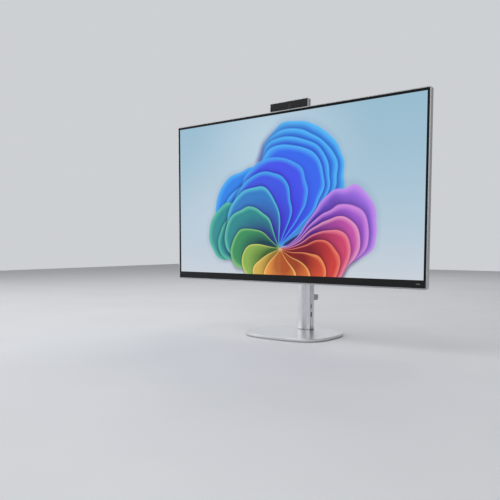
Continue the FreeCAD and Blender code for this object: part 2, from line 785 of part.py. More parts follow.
def make_hump_cover():
    """The shell over the electronics, with the bay that the camera slides into above it."""
    wall = d.cover_wall
    shell = new_body("hump_shell")
    lofted(shell, "hump_outside", "Additive", hump_end(edge_back, 0, 0), hump_end(0, 0, 1))
    bay_z = (d.hump_top - 15, d.head_top - 0.4)
    bay_y = (edge_back, -d.camera_back + 2.4)
    bay_half = d.camera_half_x + 4.5
    padded(shell, "camera_bay", "XZ_Plane", bay_y, draw_round_box, (-bay_half, bay_half), bay_z, 1.5)
    inner_ends = (hump_end(edge_back, wall, 0), hump_end(-wall, wall, 1))
    lofted(shell, "hump_inside", "Subtractive", *inner_ends)
    void_x = (-bay_half + 2, bay_half - 2)
    void_y = (edge_back, -d.camera_back + 0.6)
    void_z = (d.hump_top - 20, d.head_top + 1)
    pocketed(shell, "bay_inside", "XZ_Plane", void_y, draw_round_box, void_x, void_z, 0.5)
    for name, (low, high) in VENT_ROWS.items():
        vent_row(shell, name, low, high)
    window_y = (-wall - 1, 1)
    pocketed(shell, "port_window", "XZ_Plane", window_y, draw_round_box, *PORT_WINDOW, 2)
    tools = []
    for count, at in enumerate(bracket_screw_places()):
        tools.append(rod(f"hump_pass_{count}", "y", 2.2, (-5, 1), at))
    node(cut("hump_cover", shell, *tools))


def cover_screw_places():
    return [(x, z) for x in (-300, -215, 215, 300) for z in (160, 530)]


def bracket_screw_places():
    return [(x, d.pivot_z + z) for x in (-37, 37) for z in (-32, 32)]


# ---------------------------------------------------------------- electronics


def make_chassis():
    plate = box("chassis_sheet", (-60, 60), (-5.2, -2.3), (300, 400))
    posts = []
    for x in (-54, 54):
        for z in (306, 394):
            posts.append(rod(f"post_{x}_{z}", "y", 3, (tray_back, -5), (x, z)))
    holes = []
    for count, at in enumerate(bracket_screw_places()):
        holes.append(rod(f"chassis_hole_{count}", "y", 2, (-6, 0), at))
    node(cut("head_chassis", fuse("chassis_whole", plate, *posts), *holes))

    standoffs = []
    for x in (-144, 34):
        for z in (241, 419):
            standoffs.append(rod(f"standoff_{x}_{z}", "y", 2.5, (tray_back, board_front), (x, z)))
    node(group("board_standoffs", standoffs))


def make_boards():
    board = box("board_sheet", (-150, 40), (board_front, board_back), (235, 425))
    gap_y = (board_front - 6, board_back + 2.4)
    gaps = [rod(f"board_gap_{z}", "y", 4.5, gap_y, (-54, z)) for z in (306, 394)]
    chips = [
        box("power_stage", (-6, 6), (board_back, board_back + 3), (300, 370)),
        box("support_chip", (5, 25), (board_back, board_back + 1.4), (270, 290)),
        box("board_plug", (-30, 10), (board_back, board_back + 5), (412, 420)),
    ]
    node(fuse("mainboard", cut("board_drilled", board, *gaps), *chips))
    node(box("processor", (-54, -16), (board_back, board_back + 1.6), (331, 369)))
    plate_y = (board_back + 1.6, board_back + 4.6)
    node(rounded("heat_spreader", box("spreader_block", (-59, -11), plate_y, (326, 374)), 3, "y"))
    pipe_y = (board_back + 4.6, board_back + 7.6)
    low_run, upward_run, top_run = (346, 354), (59, 67), (420, 428)
    runs = [
        box("pipe_from_chip", (-58, 66), pipe_y, low_run),
        box("pipe_upward", upward_run, pipe_y, (low_run[0], top_run[1])),
        box("pipe_to_fins", (upward_run[0], 150), pipe_y, top_run),
    ]
    node(rounded("heat_pipe", fuse("pipe_whole", *runs), 3, "y"))
    fin_count, fin_pitch, fin_thick, fins_z = 25, 3, 0.6, (415, 433)
    fins = [box("fin_base", (78, 152), (-24.8, -24), fins_z)]
    for count in range(fin_count):
        x = 78.4 + count * fin_pitch
        fins.append(box(f"fin_{count}", (x, x + fin_thick), (-24.5, -9), fins_z))
    node(fuse("fin_stack", *fins))

    drive = box("drive_board", (-110, -30), (board_back + 0.8, board_back + 1.6), (252, 274))
    chips = [
        box(f"drive_chip_{x}", (x, x + 16), (board_back + 1.6, board_back + 2.8), (255, 271))
        for x in (-98, -76, -54)
    ]
    socket = box("drive_socket", (-112, -106), (board_back, board_back + 3), (250, 276))
    node(fuse("solid_state_drive", drive, socket, *chips))

    sticks = []
    chip_y = (board_back + 2.8, board_back + 3.8)
    for low in (290, 326):
        lift = (board_back + 1.6, board_back + 2.8)
        stick = box(f"memory_board_{low}", (-142, -72), lift, (low, low + 30))
        socket = box(f"memory_socket_{low}", (-145, -69), (board_back, board_back + 4), (low - 4, low))
        chips = [
            box(f"memory_chip_{low}_{x}", (x, x + 12), chip_y, (low + 6, low + 24))
            for x in (-138, -121, -104, -87)
        ]
        sticks.append(fuse(f"memory_{low}", stick, socket, *chips))
    node(group("memory_modules", sticks))

    card = box("wireless_sheet", (-140, -110), (board_back + 0.8, board_back + 1.6), (378, 400))
    can = box("wireless_can", (-134, -114), (board_back + 1.6, board_back + 3), (381, 397))
    socket = box("wireless_socket", (-143, -138), (board_back, board_back + 3), (376, 402))
    node(fuse("wireless_card", card, can, socket))


def make_fan():
    x, z = d.fan_x, d.fan_z
    centre = (x, z)
    case_half, case_y, wall = 46, (-30, -11.5), 1.5
    air_y = (case_y[0] + wall, case_y[1] - wall)
    stem_radius, inlet_radius = 1.5, 27
    skin = box("fan_block", about(x, case_half), case_y, (z - case_half, z + 64))
    tools = [
        rod("fan_room", "y", d.fan_radius + 4, air_y, centre),
        box("fan_outlet", about(x, 37), air_y, (z, z + 65)),
        rod("fan_inlet", "y", inlet_radius, (-14, -10), centre),
    ]
    stem = rod("fan_stem", "y", stem_radius, (-29, -19), centre)
    shell = cut("fan_shell", rounded("fan_round", skin, 8, "y"), *tools)
    node(fuse("fan_housing", shell, stem))

    rotor = new_body("fan_rotor")
    hub_radius, rotor_back = 14, -14.8
    padded(rotor, "fan_hub", "XZ_Plane", (-27.8, rotor_back), draw_ring, hub_radius)
    blade_x, blade_z = (hub_radius - 1, d.fan_radius), (-0.5, 0.5)
    blade_y = (-27, rotor_back)
    blade = padded(rotor, "fan_blade", "XZ_Plane", blade_y, draw_round_box, blade_x, blade_z, 0.3)
    pattern = rotor.newObject("PartDesign::PolarPattern", "fan_blades")
    pattern.Originals = [blade]
    pattern.Axis = (blade.Profile[0], ["N_Axis"])
    pattern.Angle = 360
    pattern.Occurrences = FAN_BLADES
    rotor.Tip = pattern
    pocketed(rotor, "fan_bore", "XZ_Plane", (-29, -18.6), draw_ring, stem_radius + d.running_fit)
    bind(rotor, "Placement.Base.x", x)
    bind(rotor, "Placement.Base.z", z)
    node(rotor)


def make_speakers():
    half_x, half_z, height = 24, 13, 239
    for side, middle in (("left", -138), ("right", 138)):
        case_z = about(height, half_z)
        block = box(f"speaker_block_{side}", about(middle, half_x), (-30, -12), case_z)
        case = rounded(f"speaker_case_{side}", block, 4, "y")
        dip = rod(f"speaker_dip_{side}", "y", 10, (-14, -11), (middle, height))
        cone = rod(f"speaker_cone_{side}", "y", 4, (-14.5, -12.5), (middle, height))
        node(fuse(f"speaker_{side}", cut(f"speaker_shell_{side}", case, dip), cone))


PORT_MOUTH = -3.2


def connector(name):
    """A metal can with an open mouth at the port plate and a tongue inside."""
    x, z, deep = REAR_PORTS[name]
    back = PORT_MOUTH - deep
    skin = 0.6
    can = box(f"{name}_can", x, (back, PORT_MOUTH), z)
    void_y = (back + 1.5, PORT_MOUTH + 1)
    void = box(f"{name}_void", widened(x, -skin), void_y, widened(z, -skin))
    tongue_z = (z[0] + (z[1] - z[0]) * 0.55, z[1] - 1.3)
    tongue = box(f"{name}_tongue", widened(x, -1.6), (back + 1, PORT_MOUTH - 1), tongue_z)
    return fuse(name, cut(f"{name}_open", can, void), tongue)


def make_rear_ports():
    node(connector("video_port"))
    node(connector("network_port"))
    node(group("rear_usb_ports", [connector("usb_upper"), connector("usb_lower")]))
    jack_radius = 4.2
    jack = rod("jack_body", "y", jack_radius, (-15, PORT_MOUTH), POWER_JACK)
    hole = rod("jack_hole", "y", 2.9, (-13, -2), POWER_JACK)
    contact = rod("jack_pin", "y", 0.6, (-14, -4.5), POWER_JACK)
    node(fuse("power_inlet", cut("jack_open", jack, hole), contact))

    gap = 0.3
    sheet_x, sheet_z = [widened(span, -gap) for span in PORT_WINDOW]
    plate = box("port_sheet", sheet_x, (-4.2, -2.6), sheet_z)
    through = (-5, -2)
    gaps = [
        box(f"{name}_gap", widened(x, gap), through, widened(z, gap))
        for name, (x, z, _) in REAR_PORTS.items()
    ]
    gaps.append(rod("jack_gap", "y", jack_radius + gap, through, POWER_JACK))
    node(cut("rear_port_plate", plate, *gaps))


# ---------------------------------------------------------------- power button


def make_button():
    cap = new_body("power_button")
    cap_x = about(d.button_x, d.button_half_x)
    cap_y = about(-d.button_y, d.button_half_y)
    cap_z = (d.head_low - 0.4, d.head_low + 5)
    padded(cap, "button_cap", "XY_Plane", cap_z, draw_round_box, cap_x, cap_y, 2.4)
    rim_x = about(d.button_x, d.button_half_x + 1.6)
    rim_y = about(-d.button_y, d.button_half_y + 0.8)
    ledge = d.head_low + d.lip_low + 0.4
    padded(cap, "button_rim", "XY_Plane", (ledge, ledge + 1.2), draw_round_box, rim_x, rim_y, 2)
    node(cap)

    switch_low = d.head_low + 6.3
    switch = box("switch_case", about(d.button_x, 3), (-40.4, -35.4), (switch_low, switch_low + 3))
    board = box("switch_board", about(d.button_x, 9), (-38.5, -37.5), (switch_low + 2, switch_low + 26))
    node(fuse("button_switch", switch, board))


# ---------------------------------------------------------------- pop-up camera


def make_camera():
    near, far = -d.camera_front, -d.camera_back
    low = d.camera_top - d.camera_tall
    half = d.camera_half_x
    shell = new_body("camera_housing")
    all_x, all_z = (-half, half), (low, d.camera_top)
    padded(shell, "camera_block", "XZ_Plane", (near, far), draw_round_box, all_x, all_z, 2.5)
    face_x = (-half + 1.6, half - 1.6)
    face_z = (d.camera_top - 27, d.camera_top - 1.4)
    room = (near - 0.01, far - 1.6)
    pocketed(shell, "camera_room", "XZ_Plane", room, draw_round_box, face_x, face_z, 1.5)
    node(shell)

    pane_x = (-half + 1.7, half - 1.7)
    pane_z = (d.camera_top - 26.9, d.camera_top - 1.5)
    pane = flat_plate("window_pane", (near + 0.1, near + 1.2), pane_x, pane_z, 1.4)
    lens_z = d.camera_top - 12.5
    lens_radius, board_y = 4, near + 6.5
    hole = rod("lens_hole", "y", lens_radius + 0.2, (near - 1, near + 2), (0, lens_z))
    node(cut("camera_window", pane, hole))

    tube = rod("lens_tube", "y", lens_radius, (near + 0.4, board_y), (0, lens_z))
    dip = doc.addObject("Part::Cone", "lens_dip")
    dip.Placement = Placement(Vector(), TURN_TO["y"])
    for prop, value in (
        ("Radius1", 3.4),
        ("Radius2", 1.4),
        ("Height", 1.8),
        ("Placement.Base.y", near + 0.3),
        ("Placement.Base.z", lens_z),
    ):
        bind(dip, prop, value)
    node(cut("camera_lens", tube, dip))

    lamps = []
    for x in (-26, 26):
        lamps.append(rod(f"lamp_{x}", "y", 2.2, (near + 1.4, board_y), (x, lens_z)))
    node(group("infrared_lamps", lamps))
    board_z = (d.camera_top - 25.5, d.camera_top - 3)
    node(box("camera_board", (-50, 50), (board_y, board_y + 1.2), board_z))

    rails = []
    rail_x, rail_low = (55.8, 58), 496
    for side, x in (("left", mirrored(rail_x)), ("right", rail_x)):
        rails.append(box(f"camera_rail_{side}", x, (near + 2, far - 2), (rail_low, 550)))
    node(group("camera_rails", rails))
    catch = box("latch_block", (-6, 6), (edge_back, far + 0.5), (rail_low, 504.8))
    notch = box("latch_notch", (-3, 3), (near + 3, far + 2), (501, 506))
    node(cut("camera_latch", catch, notch))


# ---------------------------------------------------------------- the whole computer

for make in (
    make_base,
    make_column,
    make_ports,
    make_clip,
    make_lift,
    make_hinge,
    make_frame,
    make_screen,
    make_rear_panel,
    make_hump_cover,
    make_chassis,
    make_boards,
    make_fan,
    make_speakers,
    make_rear_ports,
    make_button,
    make_camera,
):
    make()
doc.recompute()

failed = [o.Label for o in doc.Objects if "Invalid" in o.State or "Error" in o.State]
failed += [o.Label for o in nodes if o.Shape.isNull() or not o.Shape.isValid() or not o.Shape.Solids]
if failed:
    raise RuntimeError(f"these objects failed: {failed}")
os.makedirs("parts", exist_ok=True)
for made in nodes:
    made.Shape.exportStep(f"parts/{made.Label}.step")
print(f"{len(nodes)} sub-parts")
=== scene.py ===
"""The looks of an all in one computer: its finishes, the picture on its screen, the fine details
that the frame leaves out, and a plain studio to see it in.

Lengths are in metres, but in millimetres in the screen's picture and in the pieces' measures.
"""

import json
import math

import bmesh
import bpy
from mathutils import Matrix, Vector


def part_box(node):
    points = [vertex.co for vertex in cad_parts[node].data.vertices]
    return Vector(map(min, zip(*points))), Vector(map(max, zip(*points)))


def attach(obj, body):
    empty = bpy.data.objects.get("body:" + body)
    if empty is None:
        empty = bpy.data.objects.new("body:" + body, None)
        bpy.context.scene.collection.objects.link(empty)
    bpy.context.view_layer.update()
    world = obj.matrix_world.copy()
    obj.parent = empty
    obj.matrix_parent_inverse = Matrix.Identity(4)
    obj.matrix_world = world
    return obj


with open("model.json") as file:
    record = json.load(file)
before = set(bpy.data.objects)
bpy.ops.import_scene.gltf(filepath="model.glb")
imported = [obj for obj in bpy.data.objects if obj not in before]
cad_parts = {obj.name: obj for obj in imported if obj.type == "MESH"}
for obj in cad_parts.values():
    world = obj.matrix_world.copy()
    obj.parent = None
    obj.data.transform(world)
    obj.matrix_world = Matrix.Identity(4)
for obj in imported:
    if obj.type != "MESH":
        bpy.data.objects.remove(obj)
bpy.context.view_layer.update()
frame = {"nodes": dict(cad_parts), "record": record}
NODES = frame["nodes"]
MM = 0.001

# ---------------------------------------------------------------- colours and node helpers


def linear(*levels):
    """A colour for a shader, from red, green and blue levels of 0 to 255 as a display shows them."""
    shares = [level / 255 for level in levels]
    values = (s / 12.92 if s <= 0.04045 else ((s + 0.055) / 1.055) ** 2.4 for s in shares)
    return tuple(values) + (1.0,)


def between(one, two, share):
    """The values that lie this share of the way from the values in one to those in two."""
    return tuple(a + (b - a) * share for a, b in zip(one, two))


class Finish:
    """One material: a Principled shader, and short calls that put nodes in front of it."""

    def __init__(self, name, **settings):
        self.material = bpy.data.materials.new(name)
        self.material.use_nodes = True
        self.tree = self.material.node_tree
        self.shader = self.tree.nodes["Principled BSDF"]
        for words, value in settings.items():
            socket = words.replace("_", " ").title().replace("Ior", "IOR")
            self.shader.inputs[socket].default_value = value
        self.place = self.add("TexCoord").outputs["Object"]
        self.normal = None

    def add(self, kind, **settings):
        node = self.tree.nodes.new("ShaderNode" + kind)
        for words, value in settings.items():
            setattr(node, words, value)
        return node

    def feed(self, node, **values):
        """Sets or links a node's inputs by name."""
        for words, value in values.items():
            socket = node.inputs[words.replace("_", " ").title()]
            if isinstance(value, bpy.types.NodeSocket):
                self.tree.links.new(value, socket)
            else:
                socket.default_value = value
        return node

    def stretched(self, scale):
        """Object coordinates times a number for each axis."""
        node = self.feed(self.add("Mapping"), vector=self.place, scale=scale)
        return node.outputs["Vector"]

    def noise(self, scale, detail=3.0, roughness=0.55):
        """Noise with about this many lumps to the metre: one number, or one for each axis."""
        scale = (scale,) * 3 if isinstance(scale, (int, float)) else scale
        node = self.add("TexNoise")
        self.feed(node, vector=self.stretched(scale), scale=1.0, detail=detail, roughness=roughness)
        return node.outputs["Fac"]

    def cells(self, scale):
        node = self.add("TexVoronoi")
        self.feed(node, vector=self.stretched((scale,) * 3), scale=1.0)
        return node.outputs["Distance"]

    def spread(self, value, low, high, to_low=0.0, to_high=1.0, smooth=False):
        """A value's range from low to high, as one from to_low to to_high, and no further."""
        way = "SMOOTHSTEP" if smooth else "LINEAR"
        node = self.add("MapRange", clamp=True, interpolation_type=way)
        ranges = {"From Min": low, "From Max": high, "To Min": to_low, "To Max": to_high}
        for words, number in ranges.items():
            node.inputs[words].default_value = number
        self.tree.links.new(value, node.inputs["Value"])
        return node.outputs["Result"]

    def ramp(self, value, *stops):
        """A colour ramp over (position, colour) stops."""
        node = self.feed(self.add("ValToRGB"), fac=value)
        elements = node.color_ramp.elements
        while len(elements) < len(stops):
            elements.new(0.5)
        for element, (position, colour) in zip(elements, stops):
            element.position = position
            element.color = colour
        return node.outputs["Color"]

    def mixed(self, share, under, over):
        """A share of one colour laid over another."""
        node = self.add("Mix", data_type="RGBA")
        for index, value in ((0, share), (6, under), (7, over)):
            if isinstance(value, bpy.types.NodeSocket):
                self.tree.links.new(value, node.inputs[index])
            else:
                node.inputs[index].default_value = value
        return node.outputs[2]

    def sum(self, first, second, how="ADD"):
        """Two values added, or put together by another operation."""
        node = self.add("Math", operation=how)
        for socket, value in zip(node.inputs, (first, second)):
            if isinstance(value, bpy.types.NodeSocket):
                self.tree.links.new(value, socket)
            else:
                socket.default_value = value
        return node.outputs[0]

    def link(self, value, words):
        self.tree.links.new(value, self.shader.inputs[words])

    def colour(self, value):
        self.link(value, "Base Color")

    def rough(self, value, low, high):
        """Roughness from low to high as the value goes over the middle of a noise's range."""
        self.link(self.spread(value, 0.3, 0.7, low, high), "Roughness")

    def bump(self, height, depth, strength=1.0):
        """Adds height, of this depth in metres, to the surface. Later calls add to earlier ones."""
        node = self.add("Bump")
        self.feed(node, height=height, strength=strength, distance=depth)
        if self.normal is not None:
            self.tree.links.new(self.normal, node.inputs["Normal"])
        self.normal = node.outputs["Normal"]
        self.link(self.normal, "Normal")


def tinted(colour, factor):
    """A colour made darker or lighter."""
    return tuple(min(1.0, c * factor) for c in colour[:3]) + (1.0,)


# ---------------------------------------------------------------- finishes


def anodised(name, colour, roughness, streaks=False):
    """Anodised aluminium: a faint even mottling, and in an extrusion soft drawn bands along Z."""
    finish = Finish(name, metallic=1.0, specular_ior_level=0.5)
    mottling = finish.noise(30, detail=2)
    bands = finish.noise((180, 180, 1.2) if streaks else 130, detail=1)
    colours = [(0.3, tinted(colour, 0.965)), (0.5, colour), (0.7, tinted(colour, 1.03))]
    finish.colour(finish.ramp(finish.sum(finish.sum(mottling, bands), 0.5, "MULTIPLY"), *colours))
    finish.rough(bands, roughness - 0.012, roughness + 0.012)
    return finish.material


def moulded(name, colour, roughness, flakes=0.0):
    """Moulded plastic with a fine grain and a very slight unevenness of colour."""
    finish = Finish(name, metallic=flakes)
    clouds = finish.noise(24, detail=2)
    grain = finish.noise(620, detail=1)
    finish.colour(finish.ramp(clouds, (0.3, tinted(colour, 0.98)), (0.7, tinted(colour, 1.02))))
    finish.rough(grain, roughness - 0.03, roughness + 0.03)
    finish.bump(grain, 0.00002, 0.5)
    return finish.material


def zinc_steel():
    """Zinc-plated sheet steel: its spangle, and brushing along X."""
    finish = Finish("zinc_steel", metallic=1.0)
    spangle = finish.cells(420)
    brushing = finish.noise((90, 1600, 1600), detail=2)
    finish.colour(finish.ramp(spangle, (0.0, linear(172, 174, 178)), (0.8, linear(205, 206, 208))))
    finish.rough(brushing, 0.26, 0.42)
    finish.bump(brushing, 0.00002, 0.5)
    return finish.material


def powder_coat():
    """Black powder coat with its orange-peel texture."""
    finish = Finish("black_powder_coat")
    peel = finish.noise(900, detail=3)
    finish.colour(finish.ramp(peel, (0.3, linear(24, 24, 26)), (0.7, linear(34, 34, 36))))
    finish.rough(peel, 0.48, 0.62)
    finish.bump(peel, 0.0001, 0.8)
    return finish.material


def rubber():
    """Black rubber with a little dust on it."""
    finish = Finish("foot_rubber")
    dust = finish.noise(210, detail=5)
    finish.colour(finish.ramp(dust, (0.35, linear(26, 26, 27)), (0.75, linear(52, 52, 53))))
    finish.rough(dust, 0.78, 0.92)
    finish.bump(finish.noise(1800), 0.00008, 0.8)
    return finish.material


def circuit_board(name, colour):
    """Solder mask over faint copper tracks, with tinned pads."""
    finish = Finish(name, coat_weight=0.35, coat_roughness=0.18)
    tracks = finish.add("TexBrick", offset=0.5, squash=0.7, squash_frequency=3)
    finish.feed(tracks, vector=finish.stretched((260, 260, 260)), scale=1.0)
    tracks.inputs["Color1"].default_value = tinted(colour, 0.75)
    tracks.inputs["Color2"].default_value = tinted(colour, 1.5)
    tracks.inputs["Mortar"].default_value = colour
    tracks.inputs["Mortar Size"].default_value = 0.06
    pads = finish.spread(finish.cells(330), 0.16, 0.2, 1.0, 0.0)
    finish.colour(finish.mixed(pads, tracks.outputs["Color"], linear(196, 190, 170)))
    finish.rough(finish.noise(300), 0.34, 0.5)
    finish.bump(tracks.outputs["Fac"], 0.00004, 0.6)
    return finish.material


def chip_package():
    """The matt black resin of a chip."""
    finish = Finish("chip_package")
    grain = finish.noise(2400, detail=2)
    finish.colour(finish.ramp(grain, (0.3, linear(28, 28, 30)), (0.75, linear(48, 48, 50))))
    finish.rough(grain, 0.5, 0.68)
    finish.bump(grain, 0.00004, 0.7)
    return finish.material


def bare_metal(name, dark, light, low, high):
    """Plain metal with drawing marks and a slight tarnish."""
    finish = Finish(name, metallic=1.0)
    tarnish = finish.noise(70, detail=5)
    marks = finish.noise((70, 2000, 2000), detail=2)
    finish.colour(finish.ramp(tarnish, (0.3, dark), (0.7, light)))
    finish.rough(marks, low, high)
    finish.bump(marks, 0.00001, 0.5)
    return finish.material


def reflector_film():
    """Glossy acrylic over a pattern of white dots."""
    finish = Finish("guide_film", coat_weight=0.6, coat_roughness=0.1)
    dots = finish.cells(700)
    finish.colour(finish.ramp(dots, (0.0, linear(236, 238, 242)), (0.6, linear(222, 226, 232))))
    finish.rough(dots, 0.2, 0.34)
    finish.bump(dots, 0.00002, 0.4)
    return finish.material


def charcoal_chin():
    """The satin strip under the picture: charcoal with a fine grain."""
    finish = Finish("charcoal_chin", specular_ior_level=0.18)
    grain = finish.noise((700, 700, 2600), detail=2)
    clouds = finish.noise(11, detail=4)
    finish.colour(finish.ramp(clouds, (0.3, linear(26, 26, 27)), (0.7, linear(31, 31, 32))))
    finish.rough(clouds, 0.38, 0.48)
    finish.bump(grain, 0.00002, 0.5)
    return finish.material


def tinted_window():
    """The glossy front of the camera: smoked plastic with faint dust and wipe marks."""
    finish = Finish("tinted_window", coat_weight=0.05, coat_roughness=0.08, specular_ior_level=0.2)
    dust = finish.noise(300, detail=2)
    wipes = finish.noise((30, 30, 260), detail=3)
    finish.colour(finish.ramp(dust, (0.35, linear(44, 44, 45)), (0.75, linear(48, 48, 48))))
    finish.rough(wipes, 0.2, 0.34)
    finish.bump(wipes, 0.00001, 0.3)
    return finish.material


def light_window():
    """A frosted window over a small white lamp that is barely lit."""
    finish = Finish("light_window", coat_weight=0.3, coat_roughness=0.15)
    frost = finish.noise(1500, detail=2)
    finish.colour(finish.ramp(frost, (0.3, linear(118, 119, 122)), (0.7, linear(134, 135, 138))))
    finish.rough(frost, 0.4, 0.52)
    finish.bump(frost, 0.00002, 0.5)
    return finish.material


def coated_lens():
    """Dark glass with its coating's reflection tint painted into its colour: violet face on, turning
    green towards its edge.
    """
    finish = Finish("coated_lens", coat_weight=1.0, coat_roughness=0.02, roughness=0.06)
    # Painted reflection: the coating's tint, set by how squarely the glass faces the view.
    facing = finish.add("LayerWeight").outputs["Facing"]
    stops = ((0.0, linear(24, 20, 34)), (0.5, linear(30, 28, 48)), (0.9, linear(24, 46, 44)))
    finish.colour(finish.ramp(facing, *stops))
    finish.bump(finish.noise(160), 0.00001, 0.15)
    return finish.material


# ---------------------------------------------------------------- the picture on the screen

PICTURE_HALF_WIDE, PICTURE_HALF_TALL = 348.65, 196.15
PICTURE_CENTRE = Vector((0, 0, 0.350))
FAN_ROOT = Vector((-12, -128, 0))
CURL = 0.085
# How far from the root the sheets start, and the shadow that the hindmost of them throws.
ROOT_GAP = 2
FIRST_SHADE = 0.16


class Picture:
    """Soft folded sheets over a pale backdrop, in millimetres from the middle of the picture.

    The sheets fan out from one point. In fan space, x is the bearing from that point in degrees,
    clockwise from straight up, and y is the distance from it. The bearing turns with distance, by
    CURL degrees to the millimetre, so that a straight sheet in fan space curls.
    """

    def __init__(self, finish):
        self.finish = finish
        offset = finish.add("VectorMath", operation="SUBTRACT")
        finish.feed(offset, vector=finish.place)
        offset.inputs[1].default_value = PICTURE_CENTRE
        across = finish.add("SeparateXYZ")
        finish.tree.links.new(offset.outputs[0], across.inputs[0])
        self.x = finish.sum(across.outputs["X"], 1 / MM, "MULTIPLY")
        self.up = finish.sum(across.outputs["Z"], 1 / MM, "MULTIPLY")
        self.flat = self.pair(self.x, self.up)
        away_x = finish.sum(self.x, FAN_ROOT.x, "SUBTRACT")
        away_up = finish.sum(self.up, FAN_ROOT.y, "SUBTRACT")
        bearing = finish.sum(finish.sum(away_x, away_up, "ARCTAN2"), 180 / math.pi, "MULTIPLY")
        reach = self.distance(self.flat, FAN_ROOT)
        wave = 13
        waves = finish.spread(finish.noise(10, detail=1), 0.0, 1.0, -wave, wave)
        curled = finish.sum(bearing, finish.sum(finish.sum(reach, CURL, "MULTIPLY"), waves))
        self.fan = self.pair(curled, reach)
        self.image = None

    def pair(self, first, second):
        """Two values as a point."""
        node = self.finish.add("CombineXYZ")
        self.finish.tree.links.new(first, node.inputs["X"])
        self.finish.tree.links.new(second, node.inputs["Y"])
        return node.outputs[0]

    def backdrop(self, *stops):
        height = self.finish.spread(self.up, -PICTURE_HALF_TALL, PICTURE_HALF_TALL)
        self.image = self.finish.ramp(height, *stops)

    def disc_space(self, space, centre, size):
        """Coordinates in which the disc has radius 1."""
        node = self.finish.add("Mapping", vector_type="TEXTURE")
        self.finish.feed(node, vector=space, location=(*centre, 0), scale=(*size, 1))
        return node.outputs["Vector"]

    def distance(self, space, point=(0, 0, 0)):
        node = self.finish.add("VectorMath", operation="DISTANCE")
        self.finish.feed(node, vector=space)
        node.inputs[1].default_value = point
        return node.outputs["Value"]

    def glow(self, centre, size, colour, share):
        """A wide, soft patch of light."""
        away = self.distance(self.disc_space(self.flat, centre, size))
        cover = self.finish.spread(away, 1.0, 0.0, 0.0, share, smooth=True)
        self.image = self.finish.mixed(cover, self.image, colour)

    def sheet(self, centre, size, deep, main, rim, shade):
        """One sheet, an oval in fan space with a light rim, and the shadow that it throws."""
        finish = self.finish
        space = self.disc_space(self.fan, centre, size)
        away = self.distance(space)
        shadow = finish.spread(away, 1.12, 0.95, 0.0, shade, smooth=True)
        self.image = finish.mixed(shadow, self.image, tinted(deep, 0.5))
        along = finish.spread(self.distance(space, (-0.35, -0.75, 0)), 0.15, 1.75)
        body = finish.ramp(along, (0.0, deep), (0.4, deep), (0.86, main))
        edge = finish.spread(away, 0.84, 1.0, 0.0, 0.85, smooth=True)
        body = finish.mixed(edge, body, rim)
        inside = finish.spread(away, 1.0, 0.975, 0.0, 0.97, smooth=True)
        self.image = finish.mixed(inside, self.image, body)

    def folds(self, bearing, reach, half_angle, colours, count=1):
        """Sheets on sheets from the fan's root, each shorter than the last and further left."""
        deep, main, rim = (linear(*levels) for levels in colours)
        lean, shrink = -8, 0.15
        for step in range(count):
            scale = 1 - shrink * step
            centre = (bearing + CURL * reach + lean * step, reach * scale / 2 + ROOT_GAP)
            inner = between(main, deep, step / count * 0.6)
            size = (half_angle * (1 - 0.75 * shrink * step), reach * scale / 2)
            self.sheet(centre, size, deep, inner, rim, 0.5 if step else FIRST_SHADE)

    def cascade(self, *keys, steps=1):
        """Sheets on sheets from the fan's root, with others worked out between the given ones.

        Each is a bearing, a reach and a half angle, and its deep, main and rim colours.
        """
        legs = list(zip(keys, keys[1:]))
        stages = [(leg, step / steps) for leg in legs for step in range(steps)] + [(legs[-1], 1.0)]
        for number, ((one, two), share) in enumerate(stages):
            bearing, reach, half_angle = between(one[:3], two[:3], share)
            colours = [linear(*between(a, b, share)) for a, b in zip(one[3:], two[3:])]
            centre = (bearing + CURL * reach, reach / 2 + ROOT_GAP)
            size = (half_angle, reach / 2)
            self.sheet(centre, size, *colours, 0.6 if number else FIRST_SHADE)


